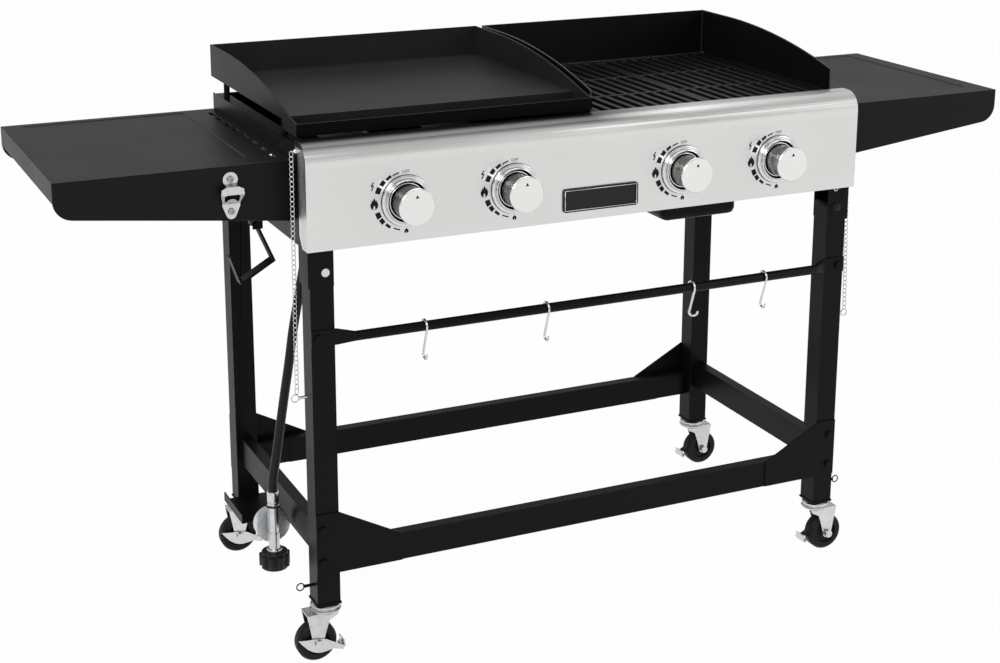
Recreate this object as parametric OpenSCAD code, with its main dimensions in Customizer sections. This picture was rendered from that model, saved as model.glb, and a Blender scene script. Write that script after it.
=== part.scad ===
// Gas grill and griddle combo on a folding leg frame, with two side tables.
// +X is the length, -Y is the front with the knobs, +Z is up, and the floor is z = 0.

/* [Overall] */
// Length over both side tables
overall_l = 1689; // [1500:1:1850]
// Height of the side table tops
table_h = 807; // [780:1:860]
// Length of the body between the side tables
body_l = 977; // [960:1:1060]
// Depth of the body from the control panel to the rear wall
body_d = 488; // [470:1:520]

/* [Body] */
// Height of the body's side walls above the table tops
wall_rise = 28; // [24:1:34]
// Thickness of the body's steel sheet
sheet_t = 1.5; // [1.2:0.1:2]
// Gap between the side panel and the burner box
flank_gap = 20; // [16:1:26]
// Depth of the burner box below its top flange
box_depth = 113; // [105:1:122]
// Drop of the burner box flange below the side wall's edge
flange_drop = 2; // [1:0.5:4]
// Depth in Y of the space behind the control panel
panel_space = 46; // [42:1:52]

/* [Control panel] */
// Height of the control panel
panel_h = 163; // [156:1:172]
// Height of the control panel above the side walls
panel_rise = 8; // [6:0.5:10]
// Radius of the panel's rounded top edge
panel_r = 30; // [22:1:34]
// Depth of the panel's wrapped ends
panel_wrap = 36; // [28:1:42]
// Length of the badge plate
badge_l = 134; // [110:1:140]
// Height of the badge plate
badge_h = 38; // [30:1:44]

/* [Knobs] */
// Distance from the centre to the inner knobs
knob_x1 = 151; // [143:0.5:162]
// Distance from the centre to the outer knobs
knob_x2 = 332; // [322:1:342]
// Height of the knobs above the panel's lower edge
knob_up = 64; // [58:1:69]
// Radius of a knob
knob_r = 29; // [26:0.5:31]
// Reach of a knob's face in front of the panel
knob_reach = 46; // [42:1:52]
// Radius of the bezel ring
bezel_r = 40; // [39:0.5:43]
// Travel of a knob when it is pushed
push_travel = 3; // [2:0.5:4]
// Diameter of the valve stem
stem_d = 8; // [7:0.5:9]

/* [Griddle] */
// Length of the griddle
griddle_l = 494; // [470:1:496]
// Height of the griddle's cooking face above the burner box flange
griddle_up = 33; // [30:1:40]
// Thickness of the griddle plate
griddle_t = 4; // [3:0.5:6]
// Height of the griddle's wall above its cooking face
griddle_wall_h = 50; // [40:1:60]
// Width of the grease trough along the front
trough_w = 65; // [50:1:75]
// Depth of the grease trough
trough_deep = 15; // [10:1:17]
// Thickness of the griddle and wind guard walls
guard_t = 2.5; // [2:0.5:4]

/* [Grill] */
// Length of the wind guard
guard_l = 467; // [440:1:469]
// Height of the wind guard
guard_h = 83; // [70:1:90]
// Length in Y of the straight part of the guard's top edge
guard_flat = 90; // [60:1:120]
// Fall of the guard's top edge at its front end
guard_fall = 44; // [30:1:50]
// Pitch of the grate's bars
bar_pitch = 22; // [20:0.5:26]
// Width of a grate bar
bar_w = 9; // [7:0.5:10]
// Height of the grate's frame
bar_h = 12; // [10:0.5:14]

/* [Side tables] */
// Depth in Y of a side table
table_d = 418; // [390:1:440]
// Depth of the skirt at the outer end
skirt_end = 31; // [26:1:36]
// Depth of the front skirt at its outer corner
skirt_out = 60; // [52:1:68]
// Depth of the front skirt beside the body
skirt_in = 95; // [80:1:104]
// Thickness of the table's sheet
table_t = 2; // [1.5:0.5:3]
// Distance of the stamped recess from the table's outer edges
recess_in = 32; // [24:1:40]

/* [Legs] */
// Width of the square leg tube
leg_w = 38; // [34:1:40]
// Wall of the leg tube
leg_t = 1.5; // [1.2:0.1:2.5]
// Height of the leg's lower end
leg_foot = 100; // [97:1:110]
// Height of the fold pivot below the body
pivot_drop = 35; // [32:1:44]
// Diameter of the fold pivot bolts
bolt_d = 8; // [6:0.5:10]
// Height of the centre of the crossbars
bar_z = 174; // [170:1:200]
// Height of a crossbar
cross_h = 46; // [40:1:52]
// Depth in Y of a crossbar
cross_d = 20; // [16:1:24]
// Height of the crossbars' end plates
gusset_h = 102; // [90:1:110]
// Height of the hook rail, measured down from the fold pivots
rail_z = 104.5; // [90:0.5:130]
// Diameter of the hook rail
rail_d = 15.5; // [12:0.5:16]

/* [Casters] */
// Radius of a caster wheel
wheel_r = 33; // [30:0.5:35]
// Width of a caster wheel
wheel_w = 24; // [20:0.5:26]
// Trail of a caster
trail = 18; // [14:0.5:22]
// Diameter of a caster's axle
axle_d = 8; // [6:0.5:8]

/* [Drip tray] */
// Width of the drip tray
tray_w = 144; // [130:1:160]
// Length in Y of the drip tray
tray_l = 300; // [260:1:320]
// Depth of the drip tray
tray_h = 58.5; // [50:0.5:64]

/* [Gas line] */
// Diameter of the gas hose
hose_d = 15; // [12:0.5:16]
// Radius of the regulator's housing
reg_r = 28; // [24:0.5:30]
// Diameter of the manifold pipe
pipe_d = 18; // [14:0.5:20]

/* [Hidden] */
$fn = 48;

// Clearances: running fits turn, seats only separate two pieces
running_gap = 0.05;
seat_gap = 0.3;
free_gap = 1;
guard_behind = 10;
guard_gap = 12;
end_gap = 3.5;

// Main planes of the body
half_l = overall_l / 2;
half_b = body_l / 2;
total_d = knob_reach + body_d + guard_behind;
front_y = knob_reach - total_d / 2;
back_y = front_y + body_d;
wall_top = table_h + wall_rise;
deck_z = wall_top - flange_drop;
box_z = deck_z - box_depth;
panel_top = wall_top + panel_rise;
panel_foot = panel_top - panel_h;
panel_back = front_y + panel_space;
box_front = panel_back + sheet_t;
box_x = half_b - sheet_t - flank_gap;
knob_z = panel_foot + knob_up;
knob_xs = [-knob_x2, -knob_x1, knob_x1, knob_x2];
guard_back = back_y + guard_behind;
guard_right = half_b - end_gap;
guard_left = guard_right - guard_l;
griddle_right = guard_left - guard_gap;
griddle_left = griddle_right - griddle_l;
divider_x = griddle_right + guard_gap / 2;
griddle_front = panel_back - 2;
griddle_z = deck_z + griddle_up;
foot_r = 5;
foot_front = 98;
foot_back = 34;
foot_left = griddle_left + 14;
foot_right = griddle_right - 8;
cook_front = panel_back + 28;
guard_top = deck_z + guard_h;

// Side table places
table_front = panel_back + 26;
table_back = table_front + table_d;

// Leg places
bracket_t = 2;
leg_in = 12;
pivot_in = 4;
leg_x = half_b - sheet_t - bracket_t - free_gap - leg_w / 2;
pivot_x = leg_x - pivot_in;
leg_front_y = front_y + leg_in + leg_w / 2;
lip_y = front_y + leg_in - bracket_t - 2 * seat_gap;
leg_rear_y = back_y - 10 - leg_w / 2;
pivot_z = panel_foot - pivot_drop;
plate_t = 2;
cross_front = leg_front_y - leg_w / 2 - seat_gap;
cross_rear = leg_rear_y + leg_w / 2 + seat_gap;
cross_half = leg_x - leg_w / 2 - 65;
gusset_in = leg_x - leg_w / 2 - 105;
bolt_out = 8;
brace_z = 196;
brace_h = 49;
brace_w = 20;
pin_z = 443;
pin_d = 5;
cotter_z = leg_foot + 28;
rail_y = cross_front - plate_t - rail_d / 2;
rail_at = pivot_z - rail_z;
hook_xs = [-303, -93, 175, 315];
hook_turns = [0, 0, 65, 0];
wire_d = 3.8;

function arc_points(cx, cy, r, a0, a1, n) =
    [for (i = [0:n]) let (a = a0 + (a1 - a0) * i / n) [cx + r * cos(a), cy + r * sin(a)]];

function round_rect(w, d, r, n) = concat(
    arc_points(w / 2 - r, d / 2 - r, r, 0, 90, n),
    arc_points(r - w / 2, d / 2 - r, r, 90, 180, n),
    arc_points(r - w / 2, r - d / 2, r, 180, 270, n),
    arc_points(w / 2 - r, r - d / 2, r, 270, 360, n));

module block(x0, x1, y0, y1, z0, z1) {
    translate([x0, y0, z0]) cube([x1 - x0, y1 - y0, z1 - z0]);
}

module rod_x(x0, x1, y, z, r) {
    translate([x0, y, z]) rotate([0, 90, 0]) cylinder(r = r, h = x1 - x0);
}

module rod_y(x, y0, y1, z, r) {
    translate([x, y0, z]) rotate([-90, 0, 0]) cylinder(r = r, h = y1 - y0);
}

// A flat outline in Y and Z, as thick as from x0 to x1
module slab_yz(points, x0, x1) {
    translate([x0, 0, 0]) rotate([90, 0, 90]) linear_extrude(x1 - x0) polygon(points);
}

// A flat outline in X and Z, as thick as from y0 to y1
module slab_xz(points, y0, y1) {
    translate([0, y1, 0]) rotate([90, 0, 0]) linear_extrude(y1 - y0) polygon(points);
}

// Burner box with its top flanges, divider, ledges and tray rails
tent_z = deck_z - 42;
ledge = 10;
divider_in = 24;
divider_out = 28;
tray_x = divider_x + 211;
tray_drop = 22;
tray_top = box_z - tray_drop;
rim_w = 7;

module firebox() {
    color("#222325") {
        difference() {
            block(-box_x, box_x, box_front, back_y, box_z, deck_z);
            block(-box_x + sheet_t, box_x - sheet_t, box_front + sheet_t,
                back_y - sheet_t, box_z + sheet_t, deck_z + 1);
            for (x = knob_xs) rod_y(x, box_front - 1, box_front + sheet_t + 1, knob_z, 8);
            block(tray_x - 45, tray_x + 45, 0, 90, box_z - 1, box_z + sheet_t + 1);
        }
        block(divider_x - sheet_t / 2, divider_x + sheet_t / 2, box_front + sheet_t,
            back_y - sheet_t, box_z + sheet_t, deck_z);
        block(divider_x - divider_in, divider_x + divider_out, box_front + sheet_t, back_y - sheet_t,
            deck_z - sheet_t, deck_z);
        for (s = [-1, 1]) {
            x0 = s < 0 ? sheet_t - half_b : box_x - sheet_t;
            x1 = s < 0 ? max(sheet_t - box_x, foot_left + foot_r + free_gap) : half_b - sheet_t;
            block(x0, x1, box_front, back_y, deck_z - sheet_t, deck_z);
        }
        for (z = [deck_z - sheet_t - bar_h, tent_z]) {
            block(sheet_t - box_x, box_x - sheet_t, box_front + sheet_t,
                box_front + sheet_t + ledge, z - sheet_t, z);
            block(sheet_t - box_x, box_x - sheet_t, back_y - sheet_t - ledge,
                back_y - sheet_t, z - sheet_t, z);
        }
        for (s = [-1, 1]) tray_rail(s);
    }
}

// One hanging rail of the drip tray: its foot carries the tray's rim
module tray_rail(s) {
    outer = tray_w / 2 + rim_w + free_gap + sheet_t;
    a = s < 0 ? tray_x - outer : tray_x + outer - sheet_t;
    block(a, a + sheet_t, box_front + 6, back_y - 6, tray_top - 2 * sheet_t - seat_gap, box_z);
    b = s < 0 ? tray_x - outer : tray_x + outer - rim_w;
    block(b, b + rim_w, box_front + 6, back_y - 6, tray_top - 2 * sheet_t - seat_gap,
        tray_top - sheet_t - seat_gap);
}

module side_panel(s) {
    x0 = s < 0 ? -half_b : half_b - sheet_t;
    color("#26272a") difference() {
        union() {
            block(x0, x0 + sheet_t, front_y + sheet_t + 1, back_y, panel_foot, wall_top);
            x1 = s < 0 ? -half_b : half_b - 14;
            block(x1, x1 + 14, front_y + panel_space, back_y, panel_foot, panel_foot + sheet_t);
            if (s < 0) hook_ears();
        }
        translate([s * leg_x, leg_front_y, panel_foot])
            cube([leg_w + 7, leg_w + 8, 8], center = true);
        translate([s * leg_x, leg_rear_y, panel_foot])
            cube([leg_w + 7, leg_w + 8, 8], center = true);
        block(x0 - 1, x0 + sheet_t + 1, front_y, front_y + panel_r, panel_top - panel_r, panel_top);
        block(x0 - 1, x0 + sheet_t + 1, front_y, lip_y + seat_gap, panel_foot - 1,
            panel_foot + sheet_t + seat_gap);
        block(x0 - 1, x0 + sheet_t + 1, panel_back - sheet_t - seat_gap, panel_back + seat_gap,
            wall_top - lip_h - seat_gap, wall_top + 1);
    }
}

// Two ears and a pin that carry the gas bottle's hook
hook_w = 22;
hook_t = 4;
tank_y = 68;
tank_x = -half_b + 7;
tank_z = panel_foot - 26;

module hook_ears() {
    half = hook_w / 2 + seat_gap;
    for (k = [-1, 1])
        block(-half_b, -half_b + 17, k < 0 ? tank_y - half - 2 : tank_y + half,
            k < 0 ? tank_y - half : tank_y + half + 2, tank_z - 9, panel_foot + sheet_t);
    block(-half_b, -half_b + 17, tank_y - half - 2, tank_y + half + 2, panel_foot,
        panel_foot + sheet_t);
    rod_y(tank_x, tank_y - half - 5, tank_y + half + 5, tank_z, 4);
}

// Stainless front with a rounded top edge and wrapped ends
lip_h = 6;

module control_panel() {
    color("#c9c8c4") {
        difference() {
            slab_yz(concat([[front_y, panel_foot]],
                arc_points(front_y + panel_r, panel_top - panel_r, panel_r, 180, 90, 12),
                [[panel_back, panel_top], [panel_back, wall_top - lip_h],
                [panel_back - sheet_t, wall_top - lip_h], [panel_back - sheet_t, panel_top - sheet_t]],
                arc_points(front_y + panel_r, panel_top - panel_r, panel_r - sheet_t, 90, 180, 12),
                [[front_y + sheet_t, panel_foot + sheet_t],
                [lip_y, panel_foot + sheet_t], [lip_y, panel_foot]]),
                -half_b - sheet_t, half_b + sheet_t);
            for (x = knob_xs) rod_y(x, front_y - 1, front_y + sheet_t + 1, knob_z, 12);
        }
        for (s = [-1, 1]) {
            x0 = s < 0 ? -half_b - sheet_t : half_b;
            slab_yz(concat([[front_y, panel_foot]],
                arc_points(front_y + panel_r, panel_top - panel_r, panel_r, 180, 90, 12),
                [[front_y + panel_wrap, panel_top], [front_y + panel_wrap, panel_foot + 18],
                [front_y + panel_wrap - 12, panel_foot]]), x0, x0 + sheet_t);
        }
    }
}

// Chromed stepped ring round each knob
module knob_bezels() {
    inner = knob_r + 3;
    w = bezel_r - inner;
    color("#d8d8d8") for (x = knob_xs)
        translate([x, front_y, knob_z]) rotate([90, 0, 0]) rotate_extrude()
            polygon([[inner, 0], [bezel_r, 0], [bezel_r, 3], [bezel_r - 0.12 * w, 4.5],
                [bezel_r - 0.5 * w, 5], [bezel_r - 0.62 * w, 3.5], [bezel_r - 0.7 * w, 7],
                [bezel_r - 0.82 * w, 9], [inner, 9]]);
}

badge_up = 34;

module badge_plate() {
    color("#1a1a1c") difference() {
        translate([0, front_y, panel_foot + badge_up]) rotate([90, 0, 0])
            linear_extrude(3) polygon(round_rect(badge_l, badge_h, 5, 6));
        translate([0, front_y - 2, panel_foot + badge_up]) rotate([90, 0, 0])
            linear_extrude(2) polygon(round_rect(badge_l - 7, badge_h - 7, 3, 6));
    }
}

// Tube burners: the mouth sits on the box's front wall, a tab on its rear wall
burner_r = 11;
burner_end = 22;
burner_wall = 1.2;
mouth_rim = 5;
mouth_t = 2;
tab_w = 16;
port_n = 12;
port_in = 70;
port_pitch = 26;
port_w = 3;
port_h = 2.4;
burner_back = back_y - sheet_t - burner_end;

module burners() {
    color("#9a9a98") for (x = knob_xs) {
        difference() {
            union() {
                rod_y(x, box_front + sheet_t, burner_back, knob_z, burner_r);
                rod_y(x, box_front + sheet_t, box_front + sheet_t + mouth_t, knob_z,
                    burner_r + mouth_rim);
                block(x - tab_w / 2, x + tab_w / 2, burner_back - mouth_t, back_y - sheet_t,
                    knob_z - mouth_t / 2, knob_z + mouth_t / 2);
            }
            rod_y(x, box_front + sheet_t - 1, burner_back - mouth_t, knob_z, burner_r - burner_wall);
            for (i = [0:port_n - 1]) translate([x, box_front + port_in + i * port_pitch, knob_z])
                cube([4 * burner_r, port_w, port_h], center = true);
        }
        translate([x + burner_r + 5, box_front + sheet_t + 60, knob_z + 6]) {
            cylinder(r = 2.5, h = 18);
            translate([-6, -3, -4]) cube([9, 6, 4]);
        }
    }
}

// Manifold pipe with a valve behind each knob and the inlet elbow at its left end
manifold_y = box_front - 15;
hanger_in = 60;
elbow_r = 9;
inlet_drop = 22;
inlet_back = 86;
inlet_x = leg_w / 2 - leg_x + elbow_r + free_gap;
inlet_z = box_z - inlet_drop;
inlet_y = front_y + inlet_back;

module gas_manifold() {
    color("#8f8a7c") {
        difference() {
            union() {
                rod_x(inlet_x, knob_x2 + 40, manifold_y, knob_z, pipe_d / 2);
                for (x = knob_xs) {
                    rod_y(x, front_y + sheet_t + 6, manifold_y, knob_z, 13);
                    rod_y(x, manifold_y, box_front + sheet_t + 10, knob_z, 4.5);
                }
                translate([inlet_x, manifold_y, knob_z]) sphere(r = pipe_d / 2 + 1);
                translate([inlet_x, manifold_y, inlet_z]) cylinder(r = 8, h = knob_z - inlet_z);
                translate([inlet_x, manifold_y, inlet_z]) sphere(r = elbow_r);
                rod_y(inlet_x, manifold_y, inlet_y, inlet_z, 8);
                rod_y(inlet_x, inlet_y - 12, inlet_y, inlet_z, 10);
            }
            for (x = knob_xs)
                rod_y(x, front_y, manifold_y - 4, knob_z, stem_d / 2 + running_gap);
        }
        for (x = [hanger_in - knob_x2, knob_x2 - hanger_in])
            block(x - 6, x + 6, manifold_y, box_front, knob_z - 3, knob_z + 3);
    }
}

// Folded heat covers over the burners, on the box's lower ledges
tent_w = 86;
tent_h = 22;
tent_fold = 1.6;

module heat_tents() {
    color("#55524d") for (x = knob_xs)
        slab_xz([[x - tent_w / 2, tent_z], [x, tent_z + tent_h], [x + tent_w / 2, tent_z],
            [x + tent_w / 2 - 3, tent_z], [x, tent_z + tent_h - tent_fold], [x - tent_w / 2 + 3, tent_z]],
            box_front + sheet_t + free_gap, back_y - sheet_t - free_gap);
}

// Channel brackets that carry the leg tops
module leg_bracket(s, y) {
    face = leg_w / 2 + seat_gap;
    foot = pivot_z - 24;
    x0 = s < 0 ? sheet_t - half_b : half_b - sheet_t - bracket_t;
    x1 = s * leg_x - leg_w / 2;
    difference() {
        union() {
            block(x0, x0 + bracket_t, y - face - bracket_t, y + face + bracket_t, foot, box_z - 6);
            for (k = [-1, 1])
                block(min(x0, x1), max(x0 + bracket_t, x1 + leg_w),
                    k < 0 ? y - face - bracket_t : y + face,
                    k < 0 ? y - face : y + face + bracket_t, foot, box_z - 6);
        }
        rod_y(s * pivot_x, y - leg_w, y + leg_w, pivot_z, bolt_d / 2 + running_gap);
    }
}

module leg_brackets() {
    color("#202123") for (s = [-1, 1]) for (y = [leg_front_y, leg_rear_y]) leg_bracket(s, y);
}

module pivot_bolts() {
    reach = leg_w / 2 + seat_gap + bracket_t;
    color("#d0d0cd") for (s = [-1, 1]) for (y = [leg_front_y, leg_rear_y]) {
        rod_y(s * pivot_x, y - reach - seat_gap, y + reach + seat_gap, pivot_z, bolt_d / 2);
        rod_y(s * pivot_x, y - reach - 5, y - reach - 0.1, pivot_z, 6.5);
        rod_y(s * pivot_x, y + reach + 0.1, y + reach + 6, pivot_z, 6.5);
    }
}

// Stamped side table with a tapering skirt and a row of drain slots
corner_r = 30;
slot_n = 8;
slot_pitch = 47;

function skirt_line() = concat(
    [[half_b, table_h - table_t], [half_b, table_h - skirt_in]],
    arc_points(half_l - corner_r, table_h - skirt_out + corner_r + 2, corner_r, -83, 0, 8),
    [[half_l, table_h - table_t]]);

module side_table(s) {
    mid = (table_front + table_back) / 2;
    color("#1f2022") scale_x(s) {
        difference() {
            block(half_b, half_l, table_front, table_back, table_h - table_t, table_h);
            block(half_b + 56, half_l - recess_in, table_front + recess_in + 14,
                table_back - recess_in + 18, table_h - table_t / 2, table_h + 1);
            for (i = [0:slot_n - 1])
                translate([half_b + 16, mid + (i - (slot_n - 1) / 2) * slot_pitch, table_h])
                    cube([7, 27, 4 * table_t], center = true);
        }
        slab_xz(skirt_line(), table_front, table_front + table_t);
        slab_xz(skirt_line(), table_back - table_t, table_back);
        block(half_l - table_t, half_l, table_front, table_back, table_h - skirt_end, table_h - table_t);
        block(half_b, half_b + table_t, table_front, table_back, table_h - 60, table_h - table_t);
    }
}

// Mirrors a right-hand piece to the left side
module scale_x(s) {
    if (s < 0) mirror([1, 0, 0]) children();
    else children();
}

// Pressed bottle opener on the left skirt
opener_x = -half_b - 95;
opener_z = table_h - 45;

opener_line = [[0, 36], [0, 18], [-12, 15], [-12, 4], [-1, -12], [0, -36]];
opener_t = 2;

module bottle_opener() {
    n = len(opener_line) - 1;
    off = opener_t / 2 + seat_gap;
    color("#bfc1c2") translate([opener_x, table_front - off, opener_z]) {
        difference() {
            intersection() {
                slab_yz(concat([for (i = [0:n]) mitre(opener_line, i, opener_t / 2)],
                    [for (i = [0:n]) mitre(opener_line, n - i, -opener_t / 2)]), -22, 22);
                slab_xz(concat(arc_points(0, 24.5, 11.5, -20, 200, 12), [[-9, 16], [-17, 12],
                    [-18, 3], [-14, -9], [-13.5, -16]], arc_points(0, -28, 8, 195, 345, 8),
                    [[13.5, -16], [14, -9], [18, 3], [17, 12], [9, 16]]), -20, 5);
            }
            slab_xz(concat([[-11, -8], [-12, 1], [-8, 3.4], [8, 3.4], [12, 1], [11, -8]],
                arc_points(0, -13, 9.5, 32, 148, 8)), -20, 5);
        }
        for (z = [-24, 25]) rod_y(0, -opener_t / 2 - 2.5, -opener_t / 2, z, 4.5);
    }
}

// Outline of a side wall: flat at the rear, then a falling arc
function wall_line(y0, z0, zt, fall) =
    let (yt = guard_back - guard_flat, d = yt - y0, r = (d * d + fall * fall) / (2 * fall))
    concat([[y0, z0], [guard_back, z0], [guard_back, zt], [yt, zt]],
        [for (i = [1:14]) let (q = d * i / 14) [yt - q, zt - r + sqrt(r * r - q * q)]]);

module griddle() {
    low = griddle_z - trough_deep;
    top = griddle_z + griddle_wall_h;
    x0 = griddle_left;
    x1 = griddle_right;
    trough_back = griddle_front + trough_w;
    color("#2b2b2d") {
        block(x0, x1, trough_back - griddle_t, guard_back, griddle_z - griddle_t, griddle_z);
        block(x0, x1, griddle_front, trough_back, low - griddle_t, low);
        block(x0, x1, trough_back - griddle_t, trough_back, low - griddle_t, griddle_z);
        block(x0, x1, griddle_front, griddle_front + guard_t, low - griddle_t, griddle_z);
        block(x0, x1, guard_back - guard_t, guard_back, griddle_z - griddle_t, top);
        for (x = [x0, x1 - guard_t]) {
            slab_yz(wall_line(cook_front, griddle_z - griddle_t, top, guard_fall), x, x + guard_t);
            slab_yz([[griddle_front, low - griddle_t], [trough_back, low - griddle_t],
                [trough_back, griddle_z], [cook_front, top - guard_fall],
                [griddle_front, griddle_z]], x, x + guard_t);
        }
        for (x = [foot_left, foot_right]) for (y = [panel_back + foot_front, back_y - foot_back])
            translate([x, y, deck_z]) cylinder(r = foot_r, h = griddle_up - griddle_t);
    }
}

module wind_guard() {
    x0 = guard_left;
    x1 = guard_right;
    color("#242527") {
        block(x0, x1, guard_back - guard_t, guard_back, deck_z, guard_top);
        block(x0, x1, back_y - sheet_t, guard_back, deck_z, deck_z + sheet_t);
        for (x = [x0, x1 - guard_t])
            slab_yz(wall_line(cook_front, deck_z, guard_top, guard_fall), x, x + guard_t);
    }
}

// Cast grate of bars along Y, with cross bars that stand a little proud
grate_x0 = divider_x + divider_out + 2;
grate_x1 = box_x - sheet_t - free_gap;
grate_mid = (grate_x0 + grate_x1) / 2;
grate_y0 = box_front + sheet_t + free_gap;
grate_y1 = back_y - sheet_t - free_gap;
grate_z = deck_z - sheet_t - bar_h;
cross_n = 4;

module cooking_grate(x0, x1) {
    n = floor((x1 - x0 - bar_w) / bar_pitch);
    step = (x1 - x0 - bar_w) / n;
    color("#303032") {
        for (i = [0:n]) block(x0 + i * step, x0 + i * step + bar_w, grate_y0, grate_y1,
            grate_z, grate_z + bar_h);
        for (k = [0:cross_n - 1]) {
            y = grate_y0 + k * (grate_y1 - grate_y0 - 7) / (cross_n - 1);
            block(x0, x1, y, y + 7, grate_z, grate_z + bar_h + 1);
        }
    }
}

// The tray's body, smaller all round by t, with a rounded foot
tray_steps = [[0, 10], [3, 3.5], [10, 0]];
tray_corner = 14;
rim_corner = 6;
tray_wall = 2;
tray_in = 11;

module tray_body(t, top) {
    for (i = [0, 1]) hull() for (k = [i, i + 1])
        translate([0, 0, tray_steps[k][0] + t]) linear_extrude(0.01)
            polygon(round_rect(tray_w - 2 * t - 2 * tray_steps[k][1],
                tray_l - 2 * t - 2 * tray_steps[k][1], tray_corner - tray_steps[k][1], 4));
    translate([0, 0, tray_steps[2][0] + t]) linear_extrude(top - tray_steps[2][0] - t)
        polygon(round_rect(tray_w - 2 * t, tray_l - 2 * t, tray_corner, 4));
}

module drip_tray() {
    color("#1b1b1d") translate([tray_x, box_front + tray_in + tray_l / 2, tray_top - tray_h])
        difference() {
            union() {
                tray_body(0, tray_h);
                translate([0, 0, tray_h - sheet_t]) linear_extrude(sheet_t)
                    polygon(round_rect(tray_w + 2 * (rim_w - free_gap), tray_l, rim_corner, 4));
            }
            tray_body(tray_wall, tray_h + 1);
        }
}

// Valve stem that slides in when its knob is pushed
module valve_stem(i) {
    color("#b9b6ab") {
        rod_y(knob_xs[i], front_y - knob_reach + 10, manifold_y - 4 - push_travel - free_gap,
            knob_z, stem_d / 2);
    }
}

module knob(i) {
    face = front_y - knob_reach;
    grip_r = knob_r - 3.5;
    color("#d9d9d6") difference() {
        translate([knob_xs[i], front_y, knob_z]) rotate([90, 0, 0]) rotate_extrude()
            polygon([[0, push_travel + 5], [grip_r, push_travel + 5], [grip_r, knob_reach - 10],
                [knob_r, knob_reach - 2], [knob_r - 1.5, knob_reach], [0, knob_reach]]);
        rod_y(knob_xs[i], face + 10 - running_gap, front_y, knob_z, stem_d / 2 + running_gap);
        translate([knob_xs[i], face, knob_z + knob_r - 12.5]) rotate([90, 0, 0])
            linear_extrude(1.6, center = true) polygon([[-2.9, -2.6], [2.9, -2.6], [0, 2.6]]);
    }
}

// Flat steel hook for the gas bottle, hanging from the ears
hook_line = [[0, 0], [28.5, -66], [-28, -99], [-43.5, -54.5]];

function side(v) = [-v[1], v[0]] / norm(v);

function mitre(p, i, o) = let (n = len(p) - 1,
        a = side(p[max(i, 1)] - p[max(i, 1) - 1]),
        b = side(p[min(i, n - 1) + 1] - p[min(i, n - 1)]),
        m = (a + b) / norm(a + b))
    p[i] + m * o / (m * a);

module tank_hook() {
    n = len(hook_line) - 1;
    color("#1c1d1f") translate([tank_x, tank_y, tank_z]) difference() {
        union() {
            slab_xz(concat([for (i = [0:n]) mitre(hook_line, i, hook_t / 2)],
                [for (i = [0:n]) mitre(hook_line, n - i, -hook_t / 2)]), -hook_w / 2, hook_w / 2);
            rotate([90, 0, 0]) cylinder(r = 8, h = hook_w, center = true);
        }
        rotate([90, 0, 0]) cylinder(r = 4 + running_gap, h = hook_w + 2, center = true);
    }
}

// Square leg tube with a rounded top, a plug for the caster and a ring pin
module leg(s, y) {
    x = s * leg_x;
    inner = leg_w - 2 * leg_t;
    color("#1e1f21") {
        difference() {
            union() {
                block(x - leg_w / 2, x + leg_w / 2, y - leg_w / 2, y + leg_w / 2, leg_foot, pivot_z);
                rod_y(x, y - leg_w / 2, y + leg_w / 2, pivot_z, leg_w / 2);
            }
            block(x - inner / 2, x + inner / 2, y - inner / 2, y + inner / 2, leg_foot - 1,
                pivot_z + leg_w);
            rod_y(s * pivot_x, y - leg_w, y + leg_w, pivot_z, bolt_d / 2 + running_gap);
            if (y < 0) for (z = [pin_z, cotter_z])
                rod_x(s < 0 ? x - leg_w : x, s < 0 ? x : x + leg_w, y, z, pin_d / 2 + running_gap);
        }
        difference() {
            union() {
                block(x - inner / 2, x + inner / 2, y - inner / 2, y + inner / 2, leg_foot,
                    leg_foot + 22);
                block(x - leg_w / 2 - 1.5, x + leg_w / 2 + 1.5, y - leg_w / 2 - 1.5,
                    y + leg_w / 2 + 1.5, leg_foot - 3, leg_foot);
            }
            translate([x, y, leg_foot - 4]) cylinder(r = 5.5 + running_gap, h = 40);
        }
    }
    if (y < 0) color("#c9c9c6") ring_pin(s, y, cotter_z);
}

// Spring pin in a leg's outer wall, with a pull ring at its outer end
ring_r = 6;
ring_out = 15.5;

module ring_pin(s, y, z) {
    a = leg_w / 2 - leg_t - 24;
    b = leg_w / 2 + ring_out + 1;
    scale_x(s) {
        rod_x(leg_x + a, leg_x + b, y, z, pin_d / 2);
        translate([leg_x + leg_w / 2 + ring_out + ring_r, y, z]) rotate([90, 0, 0]) rotate_extrude()
            translate([ring_r, 0]) circle(r = 1, $fn = 24);
    }
}

module lock_pins(s) {
    color("#c9c9c6") ring_pin(s, leg_front_y, pin_z);
}

module side_brace(s) {
    x = s * leg_x;
    y0 = leg_front_y + leg_w / 2;
    y1 = leg_rear_y - leg_w / 2;
    color("#1e1f21") difference() {
        block(x - brace_w / 2, x + brace_w / 2, y0, y1, brace_z - brace_h / 2, brace_z + brace_h / 2);
        block(x - brace_w / 2 + 1.5, x + brace_w / 2 - 1.5, y0 - 1, y1 + 1,
            brace_z - brace_h / 2 + 1.5, brace_z + brace_h / 2 - 1.5);
    }
}

// Shelf with an upturned lip that the bottle leans on
module tank_rest() {
    y1 = leg_rear_y - leg_w / 2;
    x0 = -leg_x - 45;
    x1 = -leg_x + 40;
    z0 = leg_foot + 8;
    color("#232426") {
        block(x0, x1, y1 - 108, y1, z0, z0 + 2);
        block(x0, x0 + 2, y1 - 108, y1, z0, z0 + 16);
        block(-leg_x - 17, -leg_x + 17, y1 - 2, y1, z0, z0 + 34);
    }
}

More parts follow.
